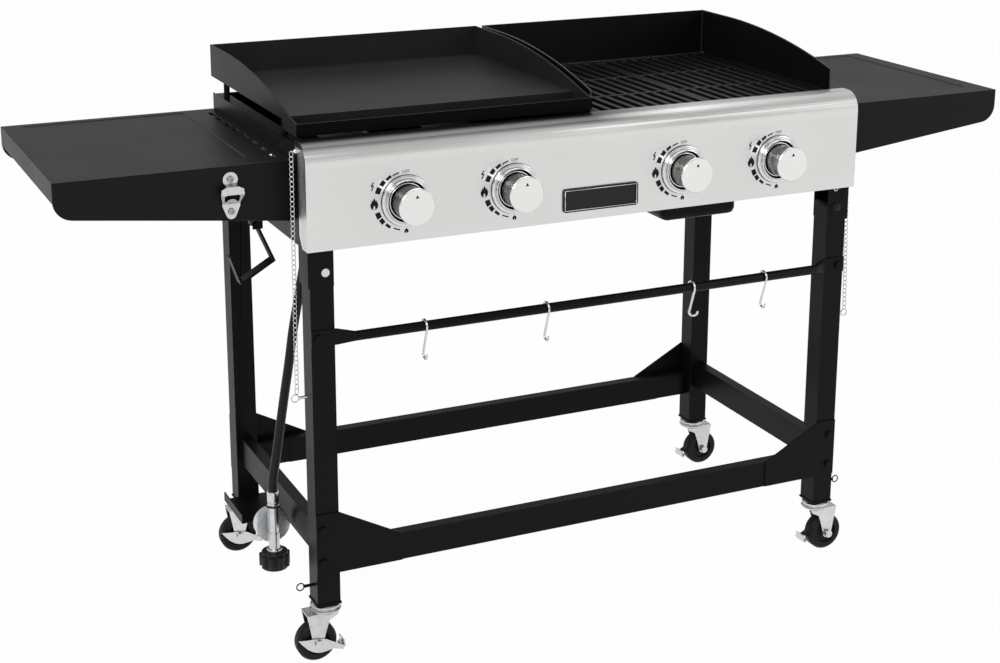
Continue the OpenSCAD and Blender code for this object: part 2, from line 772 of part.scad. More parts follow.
// Crossbar with end plates and its bolts; k is -1 in front and 1 at the rear
module crossbar(k) {
    low = bar_z - cross_h / 2;
    high = bar_z + cross_h / 2;
    face = k < 0 ? cross_front : cross_rear;
    y0 = k < 0 ? face - plate_t : face;
    outer = leg_x + leg_w / 2;
    bolts = [low + 20, low + gusset_h - 27];
    color("#1d1e20") {
        difference() {
            for (s = [-1, 1]) scale_x(s)
                slab_xz([[gusset_in, low], [outer, low], [outer, low + gusset_h],
                    [leg_x - leg_w / 2, low + gusset_h], [gusset_in, high]], y0, y0 + plate_t);
            for (s = [-1, 1]) for (z = bolts)
                rod_y(s * (leg_x + bolt_out), y0 - 1, y0 + plate_t + 1, z, 4);
        }
        yb = k < 0 ? face : face - cross_d;
        difference() {
            block(-cross_half, cross_half, yb, yb + cross_d, low, high);
            block(-cross_half - 1, cross_half + 1, yb + 1.5, yb + cross_d - 1.5, low + 1.5, high - 1.5);
        }
    }
    color("#2b2c2e") for (s = [-1, 1]) for (z = bolts) {
        rod_y(s * (leg_x + bolt_out), y0, y0 + plate_t, z, 4);
        rod_y(s * (leg_x + bolt_out), k < 0 ? y0 - 4 : y0 + plate_t, k < 0 ? y0 : y0 + plate_t + 4,
            z, 7);
    }
}

// Round rail with flattened, bolted ends
rail_taper = 26;
tab_half = 13;

module hook_rail() {
    tab_in = leg_x - leg_w / 2 - 2;
    round_end = tab_in - rail_taper;
    y0 = cross_front - plate_t;
    color("#1d1e20") {
        rod_x(-round_end, round_end, rail_y, rail_at, rail_d / 2);
        for (s = [-1, 1]) scale_x(s) {
            difference() {
                block(tab_in, leg_x + leg_w / 2, y0, y0 + plate_t, rail_at - tab_half, rail_at + tab_half);
                rod_y(leg_x + bolt_out, y0 - 1, y0 + plate_t + 1, rail_at, 4);
            }
            hull() {
                block(tab_in, tab_in + 1, y0, y0 + plate_t, rail_at - tab_half, rail_at + tab_half);
                rod_x(round_end - 1, round_end, rail_y, rail_at, rail_d / 2, $fn = 32);
            }
        }
    }
    color("#2b2c2e") for (s = [-1, 1]) {
        rod_y(s * (leg_x + bolt_out), y0, y0 + plate_t, rail_at, 4);
        rod_y(s * (leg_x + bolt_out), y0 - 4, y0, rail_at, 6.5);
    }
}

// Bent wire hook: its crown rides on the rail, and its eye may be turned about its shank
crown_r = rail_d / 2 + seat_gap + wire_d / 2;
eye_r = 6.9;
shank_l = 43.3;
shank_lean = 20;

module s_hook(i) {
    r = wire_d / 2;
    color("#cfd0d0") translate([hook_xs[i], rail_y, rail_at]) {
        rotate([0, -90, 0]) rotate([0, 0, -90 - shank_lean]) rotate_extrude(angle = 215 + shank_lean)
            translate([crown_r, 0]) circle(r = r, $fn = 24);
        translate([0, -crown_r * cos(shank_lean), -crown_r * sin(shank_lean)])
            rotate([shank_lean, 0, 0]) {
                translate([0, 0, -shank_l]) cylinder(r = r, h = shank_l);
                translate([0, 0, -shank_l]) rotate([0, 0, hook_turns[i]]) translate([0, -eye_r, 0])
                    rotate([0, -90, 0]) rotate([0, 0, 90]) rotate_extrude(angle = 215)
                        translate([eye_r, 0]) circle(r = r, $fn = 24);
            }
    }
}

// Casters: the left ones are the right ones turned half round, so they trail to the left
axle_z = wheel_r;
fork_in = wheel_w / 2 + 1.5;
fork_t = 2;
race_top = leg_foot - 3 - seat_gap;
race_h = 15;
fork_leg = [[17.5, 45], [-35, 45], [-33, 40], [-20, 34], [-17, 27], [-13.5, 17]];

module place_caster(s, y) {
    translate([s * leg_x, y, 0]) rotate(s < 0 ? 180 : 0) children();
}

module caster_fork(s, y) {
    top = race_top - race_h;
    k = (top - axle_z) / 45;
    leg_line = [for (p = fork_leg) [p[0] + trail, p[1] * k + axle_z]];
    color("#c4c6c6") place_caster(s, y) {
        for (f = [-1, 1])
            slab_xz(concat(arc_points(trail, axle_z, 8.5, 180, 360, 8), leg_line),
                f < 0 ? -fork_in - fork_t : fork_in, f < 0 ? -fork_in : fork_in + fork_t);
        block(trail - 35, trail + 17.5, -fork_in - fork_t, fork_in + fork_t, top - 1, top + 1);
        translate([0, 0, top + 1]) rotate_extrude()
            polygon([[0, 0], [23, 0], [25, 2], [25, 4], [21, 6.5], [24, 8.5], [24, 11], [21, 13],
                [17, race_h - 1], [0, race_h - 1]]);
        translate([0, 0, race_top - 1]) cylinder(r = 5.5, h = 26);
        rod_y(trail, -fork_in - fork_t - 4, fork_in + fork_t + 4, axle_z, axle_d / 2);
        for (f = [-1, 1])
            rod_y(trail, f < 0 ? -fork_in - fork_t - 7 : fork_in + fork_t + 3,
                f < 0 ? -fork_in - fork_t - 3 : fork_in + fork_t + 7, axle_z, 6.5);
    }
}

module caster_wheel(s, y) {
    color("#151516") place_caster(s, y) translate([trail, 0, axle_z]) rotate([90, 0, 0])
        rotate_extrude() polygon([[axle_d / 2 + running_gap, -wheel_w / 2 - 1],
            [9, -wheel_w / 2 - 1], [10, -wheel_w / 2 + 4], [19, -wheel_w / 2 + 4],
            [20, -wheel_w / 2], [wheel_r - 4, -wheel_w / 2], [wheel_r, -wheel_w / 2 + 5],
            [wheel_r, wheel_w / 2 - 5], [wheel_r - 4, wheel_w / 2], [20, wheel_w / 2],
            [19, wheel_w / 2 - 4], [10, wheel_w / 2 - 4], [9, wheel_w / 2 + 1],
            [axle_d / 2 + running_gap, wheel_w / 2 + 1]]);
}

// Brake rocker: a curved cheek on the axle and a foot plate behind the wheel
brake_r = 4;
cheek = [[34, 12], [28, 4], [19, -6], [10.7, -12], [3, -15], [-5, -16], [-14, -15], [-24, -13],
    [-40, -18], [-44, -12], [-30, -5], [-12, 6], [2, 9], [19, 10]];

module caster_brake(s, y) {
    in = fork_in + fork_t + seat_gap;
    out_r = wheel_r + brake_r;
    color("#b4b6b6") place_caster(s, y) translate([trail, 0, axle_z]) {
        difference() {
            slab_xz(cheek, in, in + 2);
            rod_y(0, in - 1, in + 3, 0, axle_d / 2 + running_gap);
        }
        slab_xz([[2 - out_r, -13], [-out_r - 3, -17], [-out_r - 8, -12], [-out_r - 6, -3],
            [-out_r - 4, -3], [-out_r - 5.5, -11.5], [-out_r - 2.8, -14.3], [2 - out_r, -11]],
            -6, in + 2);
    }
}

// Hanging chains of the lock pins, drawn as plain wires with their fixing screws
chain_x = half_b + 9;
chain_y = panel_back - 7;
chain_low = pin_z + 8;
chain_top = wall_top - 8;

module pin_chains() {
    color("#c6c7c7") for (s = [-1, 1]) scale_x(s) {
        translate([chain_x, chain_y, chain_low]) cylinder(r = 0.8, h = chain_top - chain_low, $fn = 24);
        rod_x(half_b, chain_x + 2, chain_y, chain_top, 2.5);
    }
}

// Gas hose from the manifold inlet to the regulator, along hand-set points
hose_steps = [[0, 0, 0], [0, 20, 0], [0, 44, -9], [-2, 60, -32], [-6, 66, -62], [-12, 68, -98],
    [-20.5, 68, -140], [-30, 68, -188], [-38.5, 68, -243], [-48, 68, -298], [-57, 68, -353],
    [-65.5, 68, -405], [-70.8, 68, -434], [-72, 68, -448], [-72, 68, -456]];
hose_route = [for (p = hose_steps) [inlet_x, inlet_y, inlet_z] + p];

function unit(v) = v / norm(v);
function heading(p, i) = unit(p[min(i + 1, len(p) - 1)] - p[max(i - 1, 0)]);
function ring_point(p, i, a, r) =
    let (t = heading(p, i), u = unit(cross([1, 0, 0], t)), v = cross(t, u))
    p[i] + r * (cos(a) * u + sin(a) * v);
hose_sides = 12;

module swept(p, r) {
    n = hose_sides;
    m = len(p);
    polyhedron(
        points = concat([for (i = [0:m - 1]) for (k = [0:n - 1]) ring_point(p, i, 360 * k / n, r)],
            [p[0], p[m - 1]]),
        faces = concat(
            [for (i = [0:m - 2]) for (k = [0:n - 1])
                [i * n + k, i * n + (k + 1) % n, (i + 1) * n + (k + 1) % n]],
            [for (i = [0:m - 2]) for (k = [0:n - 1])
                [i * n + k, (i + 1) * n + (k + 1) % n, (i + 1) * n + k]],
            [for (k = [0:n - 1]) [m * n, (k + 1) % n, k]],
            [for (k = [0:n - 1]) [m * n + 1, (m - 1) * n + k, (m - 1) * n + (k + 1) % n]]));
}

module gas_hose() {
    color("#161617") swept(hose_route, hose_d / 2);
}

// Regulator: crimped ferrule, hex body and round housing
hose_end = hose_route[len(hose_route) - 1];
reg_drop = 62;
neck_drop = 100.7;
nut_top = hose_end[2] - neck_drop;
reg_z = hose_end[2] - reg_drop;

module regulator() {
    color("#b8babb") translate([hose_end[0], hose_end[1], 0]) {
        translate([0, 0, hose_end[2] - seat_gap]) mirror([0, 0, 1]) rotate_extrude()
            polygon([[0, 0], [9, 0], [9.5, 2], [9.5, 18], [8.5, 20], [8.5, 23], [10, 24], [10, 27],
                [8, 28], [8, neck_drop - 20], [0, neck_drop - 20]]);
        rod_y(0, 2, 22, reg_z, reg_r);
        rod_y(0, 21, 27, reg_z, reg_r - 4);
        translate([0, 0, nut_top - 12]) cylinder(r = 9, h = 40);
        translate([0, 0, nut_top - 25]) cylinder(r = 6.5, h = 40);
        translate([0, 0, nut_top - 20]) cylinder(r = 12, h = 8);
        translate([0, 0, nut_top - 4]) cylinder(r = 13, h = 5);
    }
}

module connector_nut() {
    h = 28;
    color("#141415") translate([hose_end[0], hose_end[1], nut_top - 4 - seat_gap - h]) difference() {
        union() {
            cylinder(r = 21, h = h);
            for (i = [0:8]) rotate(i * 40) translate([19.5, 0, 4]) cylinder(r = 5.8, h = h - 8);
        }
        translate([0, 0, -1]) cylinder(r = 16, h = h - 6);
        translate([0, 0, -1]) cylinder(r = 9 + seat_gap, h = h + 2);
    }
}

firebox();
side_panel(-1);  // side_panel_left
side_panel(1);  // side_panel_right
control_panel();
knob_bezels();
badge_plate();
burners();
gas_manifold();
heat_tents();
leg_brackets();
pivot_bolts();
side_table(-1);  // side_table_left
side_table(1);  // side_table_right
bottle_opener();
griddle();
cooking_grate(grate_x0, grate_mid - free_gap / 2);  // cooking_grate_left
cooking_grate(grate_mid + free_gap / 2, grate_x1);  // cooking_grate_right
wind_guard();
drip_tray();
valve_stem(0);  // valve_stem_1
valve_stem(1);  // valve_stem_2
valve_stem(2);  // valve_stem_3
valve_stem(3);  // valve_stem_4
knob(0);  // knob_1
knob(1);  // knob_2
knob(2);  // knob_3
knob(3);  // knob_4
tank_hook();
leg(-1, leg_front_y);  // leg_front_left
leg(-1, leg_rear_y);  // leg_rear_left
leg(1, leg_front_y);  // leg_front_right
leg(1, leg_rear_y);  // leg_rear_right
side_brace(-1);  // side_brace_left
side_brace(1);  // side_brace_right
tank_rest();
crossbar(-1);  // front_crossbar
crossbar(1);  // rear_crossbar
hook_rail();
s_hook(0);  // s_hook_1
s_hook(1);  // s_hook_2
s_hook(2);  // s_hook_3
s_hook(3);  // s_hook_4
caster_fork(-1, leg_front_y);  // caster_fork_front_left
caster_fork(-1, leg_rear_y);  // caster_fork_rear_left
caster_fork(1, leg_front_y);  // caster_fork_front_right
caster_fork(1, leg_rear_y);  // caster_fork_rear_right
caster_wheel(-1, leg_front_y);  // caster_wheel_front_left
caster_wheel(-1, leg_rear_y);  // caster_wheel_rear_left
caster_wheel(1, leg_front_y);  // caster_wheel_front_right
caster_wheel(1, leg_rear_y);  // caster_wheel_rear_right
caster_brake(-1, leg_front_y);  // caster_brake_front_left
caster_brake(-1, leg_rear_y);  // caster_brake_rear_left
caster_brake(1, leg_front_y);  // caster_brake_front_right
caster_brake(1, leg_rear_y);  // caster_brake_rear_right
lock_pins(-1);  // lock_pins_left
lock_pins(1);  // lock_pins_right
pin_chains();
gas_hose();
regulator();
connector_nut();
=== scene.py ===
"""Looks for the gas grill and griddle combo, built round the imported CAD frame.

Lengths are metres, except in HOSE_STEPS.
"""
import math

import bmesh
import bpy
from mathutils import Matrix, Vector


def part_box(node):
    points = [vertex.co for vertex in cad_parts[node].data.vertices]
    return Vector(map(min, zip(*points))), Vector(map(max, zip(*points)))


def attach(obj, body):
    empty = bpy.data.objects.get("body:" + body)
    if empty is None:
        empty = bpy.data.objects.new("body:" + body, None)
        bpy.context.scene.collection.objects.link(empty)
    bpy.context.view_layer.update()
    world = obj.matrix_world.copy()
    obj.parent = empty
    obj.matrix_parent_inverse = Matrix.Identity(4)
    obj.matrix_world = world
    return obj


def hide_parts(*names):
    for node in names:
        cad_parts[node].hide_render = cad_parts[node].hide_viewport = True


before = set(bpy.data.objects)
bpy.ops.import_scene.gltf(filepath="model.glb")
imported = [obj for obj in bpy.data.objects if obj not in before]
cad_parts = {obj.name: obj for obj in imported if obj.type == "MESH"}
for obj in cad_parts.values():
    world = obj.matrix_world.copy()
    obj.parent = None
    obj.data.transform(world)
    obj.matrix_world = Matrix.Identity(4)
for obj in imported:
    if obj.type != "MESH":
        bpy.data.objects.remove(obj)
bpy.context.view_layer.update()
BODY = "grill_body"
X, Y, Z = Vector((1, 0, 0)), Vector((0, 1, 0)), Vector((0, 0, 1))

# Camera, fitted to the photograph's frame
IMAGE_W, IMAGE_H = 1000, 663
SENSOR_MM = 36.0
FOCAL_PX = 1758.3
CENTRE_PX = (493.1, 190.0)
CAMERA_AT = Vector((-1.2851, -2.6112, 1.4157))
YAW, PITCH, ROLL = (math.radians(a) for a in (24.707, -14.326, 0.078))

# Places read from the frame
PANEL_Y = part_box("control_panel")[0].y
KNOBS = [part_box(f"knob_{i}") for i in range(1, 5)]
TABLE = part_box("side_table_right")
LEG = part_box("leg_front_right")


# Objects

def new_object(name, data):
    made = bpy.data.objects.new(name, data)
    bpy.context.scene.collection.objects.link(made)
    return made


def add_piece(name, data, body, finish, replaces=()):
    """Links a mesh or a curve as a piece that rides on a CAD body."""
    data.materials.append(finish)
    piece = new_object(name, data)
    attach(piece, body)
    if replaces:
        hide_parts(*replaces)
    return piece


def add_mesh(name, mesh, body, finish, smooth=False, replaces=()):
    for face in mesh.polygons:
        face.use_smooth = smooth
    return add_piece(name, mesh, body, finish, replaces)


def add_work(name, work, body, finish, smooth=False, replaces=()):
    """Turns a bmesh into a piece."""
    mesh = bpy.data.meshes.new(name)
    work.to_mesh(mesh)
    work.free()
    piece = add_mesh(name, mesh, body, finish, smooth, replaces)
    return piece


def add_tube(name, points, radius, finish, sides=3, closed=False, replaces=()):
    """A round rod along points, as a curve on the grill's body."""
    data = bpy.data.curves.new(name, "CURVE")
    data.dimensions = "3D"
    data.bevel_depth = radius
    data.bevel_resolution = sides
    data.use_fill_caps = not closed
    spline = data.splines.new("POLY")
    spline.points.add(len(points) - 1)
    for target, source in zip(spline.points, points):
        target.co = (*source, 1.0)
    spline.use_cyclic_u = closed
    return add_piece(name, data, BODY, finish, replaces)


def mesh_of(name, points, faces):
    mesh = bpy.data.meshes.new(name)
    mesh.from_pydata([tuple(p) for p in points], [], faces)
    mesh.update()
    return mesh


# Shapes

def middle(box):
    return (box[0] + box[1]) / 2


def circle(centre, radius, across=X, up=Z, steps=24):
    """Points round a circle that two directions span."""
    turns = [2 * math.pi * i / steps for i in range(steps)]
    return [centre + radius * (math.cos(a) * across + math.sin(a) * up) for a in turns]


def add_row(work, points):
    return [work.verts.new(p) for p in points]


def add_band(work, low, high):
    """Quads between two closed rows of vertices."""
    for i in range(len(low)):
        j = (i + 1) % len(low)
        work.faces.new((low[i], low[j], high[j], high[i]))


def add_ring(work, line, radius, sides=5):
    """Sweeps a small round section along a closed line."""
    rows = []
    centre = sum(line, Vector()) / len(line)
    for i, point in enumerate(line):
        along = (line[(i + 1) % len(line)] - line[i - 1]).normalized()
        out = (point - centre).normalized()
        side = along.cross(out).normalized()
        rows.append(add_row(work, circle(point, radius, out, side, sides)))
    for i, row in enumerate(rows):
        add_band(work, row, rows[(i + 1) % len(rows)])


def add_dome(work, place, axis, radius, height, sides=20, rings=4):
    """A low round head whose top points along an axis."""
    turn = axis.to_track_quat("Z", "Y")
    rows = []
    for k in range(rings + 1):
        a = 0.5 * math.pi * k / (rings + 1)
        rows.append(add_row(work, circle(place + turn @ (height * math.sin(a) * Z),
                                         radius * math.cos(a), turn @ X, turn @ Y, sides)))
    for low, high in zip(rows, rows[1:]):
        add_band(work, low, high)
    work.faces.new(rows[-1])
    work.faces.new(rows[0][::-1])


# Materials

MIX_A, MIX_B, MIX_RESULT = 6, 7, 2  # a Mix node's sockets for colours
NOISE_LOW, NOISE_HIGH = 0.3, 0.7  # the part of the noise's range that is used
BROAD_SCALE = 6.0
RELIEF = 0.0002
SPLIT_BEFORE, SPLIT_AFTER = 0.012, 0.16  # where a change of levels across a face starts and ends


def new_material(name):
    made = bpy.data.materials.new(name)
    made.use_nodes = True
    tree = made.node_tree
    return made, tree.nodes, tree.links, tree.nodes["Principled BSDF"]


def new_node(nodes, kind, values=None):
    """A shader node with some of its sockets set."""
    made = nodes.new("ShaderNode" + kind)
    for socket, value in (values or {}).items():
        made.inputs[socket].default_value = value
    return made


def feed(links, socket, source):
    """Sets a socket to a number, or links it to another socket."""
    if isinstance(source, float):
        socket.default_value = source
    else:
        links.new(source, socket)


def calculate(nodes, links, operation, *terms):
    """The result of a math node on numbers and sockets."""
    made = nodes.new("ShaderNodeMath")
    made.operation = operation
    for socket, term in zip(made.inputs, terms):
        feed(links, socket, term)
    return made.outputs["Value"]


def mix_colours(nodes, links, blend, share, a, b):
    made = nodes.new("ShaderNodeMix")
    made.data_type = "RGBA"
    made.blend_type = blend
    feed(links, made.inputs["Factor"], share)
    links.new(a, made.inputs[MIX_A])
    links.new(b, made.inputs[MIX_B])
    return made.outputs[MIX_RESULT]


def map_range(nodes, links, source, from_min, from_max, to_min=0.0, to_max=1.0):
    made = new_node(nodes, "MapRange", {"From Min": from_min, "From Max": from_max,
                                        "To Min": to_min, "To Max": to_max})
    links.new(source, made.inputs["Value"])
    return made.outputs["Result"]


def surface(name, colour, rough, metal=0.0, specular=0.5, grain=500.0, spread=0.15, bump=0.1,
            stretch=(1.0, 1.0, 1.0), rough_spread=0.12):
    """A finish with a fine grain in its colour, gloss and relief.

    spread and rough_spread are the shares by which colour and roughness vary.
    """
    made, nodes, links, shader = new_material(name)
    shader.inputs["Metallic"].default_value = metal
    shader.inputs["Specular IOR Level"].default_value = specular
    place = nodes.new("ShaderNodeTexCoord").outputs["Object"]
    scale = new_node(nodes, "Mapping", {"Scale": stretch})
    links.new(place, scale.inputs["Vector"])
    fine = new_node(nodes, "TexNoise", {"Scale": grain, "Detail": 3.0})
    links.new(scale.outputs["Vector"], fine.inputs["Vector"])
    broad = new_node(nodes, "TexNoise", {"Scale": BROAD_SCALE, "Detail": 4.0})
    links.new(place, broad.inputs["Vector"])
    half = calculate(nodes, links, "MULTIPLY", fine.outputs["Fac"], 0.5)
    noise = calculate(nodes, links, "MULTIPLY_ADD", broad.outputs["Fac"], 0.5, half)
    tone = nodes.new("ShaderNodeValToRGB")
    ends = ((NOISE_LOW, 1 - spread), (NOISE_HIGH, 1 + spread))
    for stop, (at, share) in zip(tone.color_ramp.elements, ends):
        stop.position = at
        stop.color = (*[min(1.0, c * share) for c in colour], 1.0)
    links.new(noise, tone.inputs["Fac"])
    links.new(tone.outputs["Color"], shader.inputs["Base Color"])
    gloss = map_range(nodes, links, noise, NOISE_LOW, NOISE_HIGH,
                      rough * (1 - rough_spread), min(1.0, rough * (1 + rough_spread)))
    links.new(gloss, shader.inputs["Roughness"])
    relief = new_node(nodes, "Bump", {"Strength": bump, "Distance": RELIEF})
    links.new(fine.outputs["Fac"], relief.inputs["Height"])
    links.new(relief.outputs["Normal"], shader.inputs["Normal"])
    return made


COAT = surface("satin_black_coat", (0.0045, 0.0045, 0.0047), 0.38, specular=0.09, grain=900.0,
               bump=0.25)
TABLE_COAT = surface("table_black_coat", (0.0055, 0.0055, 0.0058), 0.42, specular=0.13,
                     grain=1400.0, bump=0.45)
GRIDDLE_AND_PAINTED_SHADE = surface("griddle_enamel_painted_shade", (0.019, 0.019, 0.0195), 0.38, specular=0.05, grain=700.0,
                  spread=0.25, bump=0.2)
GRATE = surface("grate_enamel", (0.009, 0.009, 0.009), 0.32, specular=0.25, grain=420.0,
                spread=0.3, bump=0.4)
STAINLESS_AND_PAINTED_SHADE = surface("brushed_stainless_painted_shade", (0.78, 0.775, 0.765), 0.34, metal=1.0, grain=1.0,
                    spread=0.045, bump=0.08, stretch=(5.0, 900.0, 900.0), rough_spread=0.15)
CHROME = surface("chrome", (0.72, 0.72, 0.72), 0.09, metal=1.0, grain=300.0, spread=0.03,
                 bump=0.01)
KNOB = surface("knob_satin_chrome", (0.82, 0.815, 0.8), 0.26, metal=1.0, grain=900.0,
               spread=0.04, bump=0.04)
ZINC = surface("bright_zinc", (0.62, 0.63, 0.64), 0.24, metal=1.0, grain=160.0, spread=0.16,
               bump=0.12)
CAST = surface("cast_zinc_grey", (0.3, 0.305, 0.31), 0.3, metal=0.9, grain=700.0, spread=0.15,
               bump=0.3)
BRASS = surface("valve_brass", (0.5, 0.42, 0.24), 0.35, metal=1.0, grain=300.0, spread=0.15,
                bump=0.1)
HEATED = surface("heated_steel", (0.34, 0.32, 0.29), 0.42, metal=1.0, grain=60.0, spread=0.3,
                 bump=0.1)
PLASTIC = surface("moulded_black_plastic", (0.009, 0.009, 0.0095), 0.45, specular=0.25,
                  grain=1200.0, bump=0.3)
TYRE = surface("black_wheel_rubber", (0.008, 0.008, 0.0083), 0.5, specular=0.16, grain=800.0,
               bump=0.3)
HOSE = surface("hose_rubber", (0.008, 0.008, 0.0083), 0.42, specular=0.2, grain=600.0, bump=0.2)
# Black print; the same black also paints the contact shadow line round each bezel
BLACK_PRINT_AND_SHADOW = surface("black_print_and_painted_shadow", (0.01, 0.01, 0.01), 0.5, specular=0.1, grain=900.0,
                bump=0.05)
GREY_PRINT = surface("grey_panel_print", (0.075, 0.075, 0.075), 0.5, specular=0.2, grain=900.0,
                     bump=0.05)
VOID = surface("knob_gap_shade", (0.004, 0.004, 0.004), 0.8, specular=0.02, grain=900.0,
               bump=0.05)
PIN = surface("plated_wire", (0.66, 0.66, 0.65), 0.2, metal=1.0, grain=400.0, spread=0.1,
              bump=0.05)
DARK_BOLT = surface("black_bolt", (0.006, 0.006, 0.0065), 0.35, specular=0.2, grain=600.0,
                    bump=0.2)
# A lighter black for rounded edges: a painted highlight along the rims
EDGE_HIGHLIGHT = surface("black_edge_painted_highlight", (0.05, 0.05, 0.051), 0.3, specular=0.6, grain=900.0,
                    spread=0.3, bump=0.1)


def grey_ramp(nodes, links, source, levels):
    """Grey levels over a value; levels are pairs in rising order, from 0 to 1."""
    ramp = nodes.new("ShaderNodeValToRGB")
    stops = ramp.color_ramp.elements
    for at, _ in levels[1:-1]:
        stops.new(at)
    for stop, (_, level) in zip(stops, levels):
        stop.color = (level, level, level, 1.0)
    links.new(source, ramp.inputs["Fac"])
    return ramp.outputs["Color"]


def paint_shade_from_face(made, node, axis, sign, reach, levels, right_levels=None, split=0.0):
    """Paints shade into a finish's colour, by grey levels that run inwards from one face of a node.

    axis and sign name the face, and reach is the depth of the last level. right_levels, if
    given, take over to the right of split, a place in x.
    """
    nodes, links = made.node_tree.nodes, made.node_tree.links
    places = [v.co[axis] for v in node.data.vertices]
    face = max(places) if sign > 0 else min(places)
    place = nodes.new("ShaderNodeTexCoord").outputs["Object"]
    parts = nodes.new("ShaderNodeSeparateXYZ")
    links.new(place, parts.inputs["Vector"])
    depth = map_range(nodes, links, parts.outputs[axis], face, face - sign * reach)
    grey = grey_ramp(nodes, links, depth, levels)
    if right_levels:
        right = map_range(nodes, links, parts.outputs["X"], split - SPLIT_BEFORE,
                          split + SPLIT_AFTER)
        grey = mix_colours(nodes, links, "MIX", right, grey,
                           grey_ramp(nodes, links, depth, right_levels))
    base = nodes["Principled BSDF"].inputs["Base Color"]
    links.new(mix_colours(nodes, links, "MULTIPLY", 1.0, base.links[0].from_socket, grey), base)


# Painted reflection and shade: the colour of the panel's rounded top edge is darkened where it
# would mirror the black griddle on the left and the room on the right
paint_shade_from_face(
    STAINLESS_AND_PAINTED_SHADE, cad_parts["control_panel"], 2, 1, 0.040,
    ((0.0, 0.06), (0.1, 0.14), (0.18, 0.19), (0.225, 0.42), (0.28, 0.85), (0.4, 1.0), (1.0, 0.92)),
    ((0.0, 1.0), (0.2, 1.0), (0.32, 0.72), (0.42, 0.52), (0.56, 0.6), (0.7, 0.95), (1.0, 0.92)),
    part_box("griddle")[1].x)
# Painted shade: the griddle's front face is darkened in its colour, well below its plate
paint_shade_from_face(GRIDDLE_AND_PAINTED_SHADE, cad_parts["griddle"], 1, -1, 0.010,
                ((0.0, 0.05), (0.1, 0.05), (0.2, 1.0), (1.0, 1.0)))

FINISHES = {
    "control_panel": STAINLESS_AND_PAINTED_SHADE, "knob_bezels": CHROME, "badge_plate": PLASTIC, "burners": HEATED,
    "gas_manifold": BRASS, "heat_tents": HEATED, "pivot_bolts": ZINC, "bottle_opener": ZINC,
    "side_table_left": TABLE_COAT, "side_table_right": TABLE_COAT, "griddle": GRIDDLE_AND_PAINTED_SHADE,
    "cooking_grate_left": GRATE, "cooking_grate_right": GRATE, "lock_pins_left": PIN,
    "lock_pins_right": PIN, "pin_chains": PIN, "gas_hose": HOSE, "regulator": ZINC,
    "connector_nut": PLASTIC,
}
BY_FIRST_WORD = {"knob": KNOB, "valve": BRASS, "s": PIN}
CASTER = {"fork": ZINC, "wheel": TYRE, "brake": ZINC}

EDGE_ROUND = {
    "griddle": 0.0012, "wind_guard": 0.0010, "cooking_grate_left": 0.0022,
    "cooking_grate_right": 0.0022, "side_table_left": 0.0012, "side_table_right": 0.0012,
    "control_panel": 0.0006,
}
OTHER_ROUND = 0.0005
SHARP_DEGREES = 38.0
WELD_REACH = 0.00002
HIGHLIT_EDGE_PARTS = ("griddle", "wind_guard", "side_table_left", "side_table_right")


def finish_of(node):
    words = node.split("_")
    if node in FINISHES:
        return FINISHES[node]
    if words[0] == "caster":
        return CASTER[words[1]]
    return BY_FIRST_WORD.get(words[0], COAT)


def dress_nodes():
    """Gives each CAD node its finish and a small rounded edge, with a painted highlight on the
    rounded edges of some.
    """
    for name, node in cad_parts.items():
        node.data.materials.clear()
        node.data.materials.append(finish_of(name))
        if name in ("gas_hose", "pin_chains"):
            continue
        weld = node.modifiers.new("weld", "WELD")
        weld.merge_threshold = WELD_REACH
        bevel = node.modifiers.new("edge", "BEVEL")
        bevel.width = EDGE_ROUND.get(name, OTHER_ROUND)
        bevel.segments = 2
        bevel.limit_method = "ANGLE"
        bevel.angle_limit = math.radians(SHARP_DEGREES)
        bevel.harden_normals = False
        # These parts' rounded edges take the lighter black of the painted highlight
        if name in HIGHLIT_EDGE_PARTS:
            node.data.materials.append(EDGE_HIGHLIGHT)
            bevel.material = 1


def make_camera():
    data = bpy.data.cameras.new("camera")
    data.sensor_width = SENSOR_MM
    data.lens = FOCAL_PX * SENSOR_MM / IMAGE_W
    data.shift_x = (IMAGE_W / 2 - CENTRE_PX[0]) / IMAGE_W
    data.shift_y = (CENTRE_PX[1] - IMAGE_H / 2) / IMAGE_W
    data.clip_end = 50.0
    forward = Vector((math.sin(YAW) * math.cos(PITCH), math.cos(YAW) * math.cos(PITCH),
                      math.sin(PITCH)))
    level = Vector((math.cos(YAW), -math.sin(YAW), 0.0))
    upright = level.cross(forward)
    right = level * math.cos(ROLL) + upright * math.sin(ROLL)
    up = upright * math.cos(ROLL) - level * math.sin(ROLL)
    turn = Matrix((right, up, -forward)).transposed().to_4x4()
    camera = new_object("camera", data)
    camera.matrix_world = Matrix.Translation(CAMERA_AT) @ turn
    bpy.context.scene.camera = camera


# The gas hose, along the route of part.scad, with its steps in millimetres from the start
HOSE_D = 0.015
HOSE_START = Vector((-0.436, -0.140, 0.698))
HOSE_STEPS = [
    (0, 0, 0), (0, 20, 0), (0, 44, -9), (-2, 60, -32), (-6, 66, -62), (-12, 68, -98),
    (-20.5, 68, -140), (-30, 68, -188), (-38.5, 68, -243), (-48, 68, -298), (-57, 68, -353),
    (-65.5, 68, -405), (-70.8, 68, -434), (-72, 68, -448), (-72, 68, -456),
]
SEAL_DOWN = 0.0255
SEAL_R = 0.0099
SEAL_WIRE = 0.0016


def smooth_line(points, pieces=3):
    """Catmull-Rom points through a list of points."""
    made = []
    for i in range(len(points) - 1):
        a = points[max(i - 1, 0)]
        b, c = points[i], points[i + 1]
        d = points[min(i + 2, len(points) - 1)]
        for k in range(pieces):
            t = k / pieces
            made.append(0.5 * ((2 * b) + (c - a) * t + (2 * a - 5 * b + 4 * c - d) * t ** 2
                               + (3 * b - a - 3 * c + d) * t ** 3))
    return made + [points[-1]]


